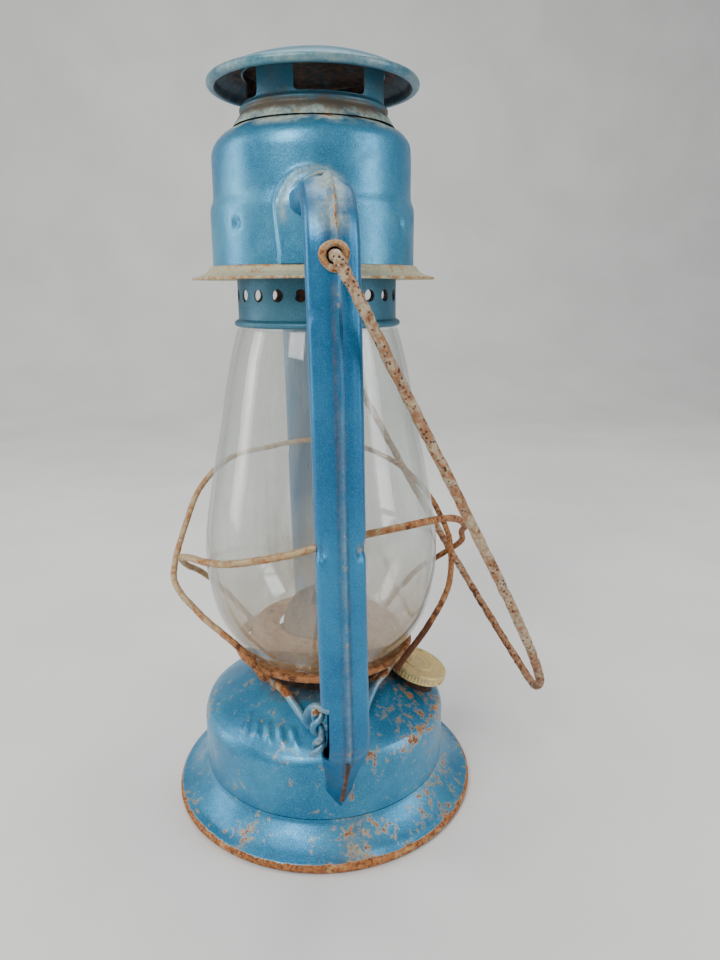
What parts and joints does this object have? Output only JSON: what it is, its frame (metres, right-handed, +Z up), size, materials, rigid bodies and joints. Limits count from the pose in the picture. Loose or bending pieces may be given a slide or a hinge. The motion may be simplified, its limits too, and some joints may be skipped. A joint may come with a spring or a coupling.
{
  "type": "barn lantern",
  "caption": "Tubular kerosene barn lantern with side tubes, lifting globe and hood, wire guard, wick raiser, screw filler cap and swinging wire bail.",
  "frame": {"origin": "on the lantern's vertical axis at the level of its foot rim, under the flat centre of the fount's bottom plate", "axes": "+Z up along the globe's axis; the side tubes stand at -Y (front) and +Y (back); the filler and the hanging bail are on +X"},
  "size_m": [0.1424, 0.1532, 0.2562],
  "materials": {
    "blue_paint": "medium blue metallic stoving enamel with rust specks",
    "teal_paint": "faded teal-grey enamel, sooted",
    "rust": "orange-brown rust",
    "dark_rust": "dark brown rust and soot",
    "cream_wire": "worn cream tin plating over rust",
    "cream_tin": "cream tin plate with orange rust",
    "cap_cream": "cream-yellow worn plating",
    "glass": "clear blown glass with dust haze",
    "wick_cotton": "charred woven cotton",
    "brass": "dull brass",
    "cork": "cork"
  },
  "bodies": {
    "lantern_body": {"base_skirt": "blue_paint", "fount_bottom": "rust", "fount_shell": "blue_paint", "filler_neck": "dark_rust", "front_tube": "blue_paint", "back_tube": "blue_paint", "bail_eyelet_front": "rust", "bail_eyelet_back": "rust", "air_duct_front": "rust", "air_duct_back": "rust", "burner_drum": "dark_rust", "burner_collar": "brass", "burner_body": "dark_rust", "burner_cone": "rust", "wick_tube": "brass", "canopy_shell": "blue_paint", "canopy_flange": "cream_tin", "canopy_floor": "dark_rust", "lever_bush": "brass"},
    "globe_carriage": {"globe_plate": "cream_tin", "globe": "glass", "guard_wire_front": "cream_wire", "guard_wire_back": "cream_wire"},
    "hood": {"globe_collar": "teal_paint", "inner_chimney": "teal_paint", "hood_neck": "teal_paint", "hood_cap": "blue_paint"},
    "lift_lever": {"lift_lever": "blue_paint"},
    "bail": {"bail": "cream_wire"},
    "cap_gasket": {"cap_gasket": "cork"},
    "filler_cap": {"filler_cap": "cap_cream"},
    "wick_raiser": {"wick_shaft": "brass", "wick_knob": "brass", "wick_wheel_near": "brass", "wick_wheel_far": "brass"},
    "wick": {"wick": "wick_cotton"}
  },
  "joints": [
    {"name": "globe_lift", "type": "slide", "parent": "lantern_body", "child": "globe_carriage", "axis": [0, 0, 1], "range_m": [0, 0.008]},
    {"name": "hood_lift", "type": "slide", "parent": "globe_carriage", "child": "hood", "axis": [0, 0, 1], "range_m": [0, 0.018]},
    {"name": "lever_press", "type": "hinge", "parent": "lantern_body", "child": "lift_lever", "pos_m": [0, -0.0671, 0.0678], "axis": [1, 0, 0], "range_deg": [0, 9.6]},
    {"name": "bail_swing", "type": "hinge", "parent": "lantern_body", "child": "bail", "pos_m": [-0.0023, 0, 0.1936], "axis": [0, -1, 0], "range_deg": [0, 303.8]},
    {"name": "filler_cap_rise", "type": "slide", "parent": "lantern_body", "child": "cap_gasket", "axis": [0.3182, -0.0688, 0.9455], "range_m": [0, 0.003]},
    {"name": "filler_cap_turn", "type": "hinge", "parent": "cap_gasket", "child": "filler_cap", "pos_m": [0.03558, -0.00769, 0.0484], "axis": [0.3182, -0.0688, 0.9455], "range_deg": [0, 720]},
    {"name": "wick_turn", "type": "hinge", "parent": "lantern_body", "child": "wick_raiser", "pos_m": [0.0047, -0.00171, 0.0534], "axis": [0.342, 0.9397, 0], "range_deg": [-99, 99]},
    {"name": "wick_feed", "type": "slide", "parent": "lantern_body", "child": "wick", "axis": [0, 0, 1], "range_m": [-0.006, 0.006]}
  ],
  "couplings": [
    {"joint": "lever_press", "follows": "globe_lift", "rad_per_m": 20.8},
    {"joint": "filler_cap_rise", "follows": "filler_cap_turn", "m_per_rad": 0.000238},
    {"joint": "wick_turn", "follows": "wick_feed", "rad_per_m": 285.7}
  ]
}
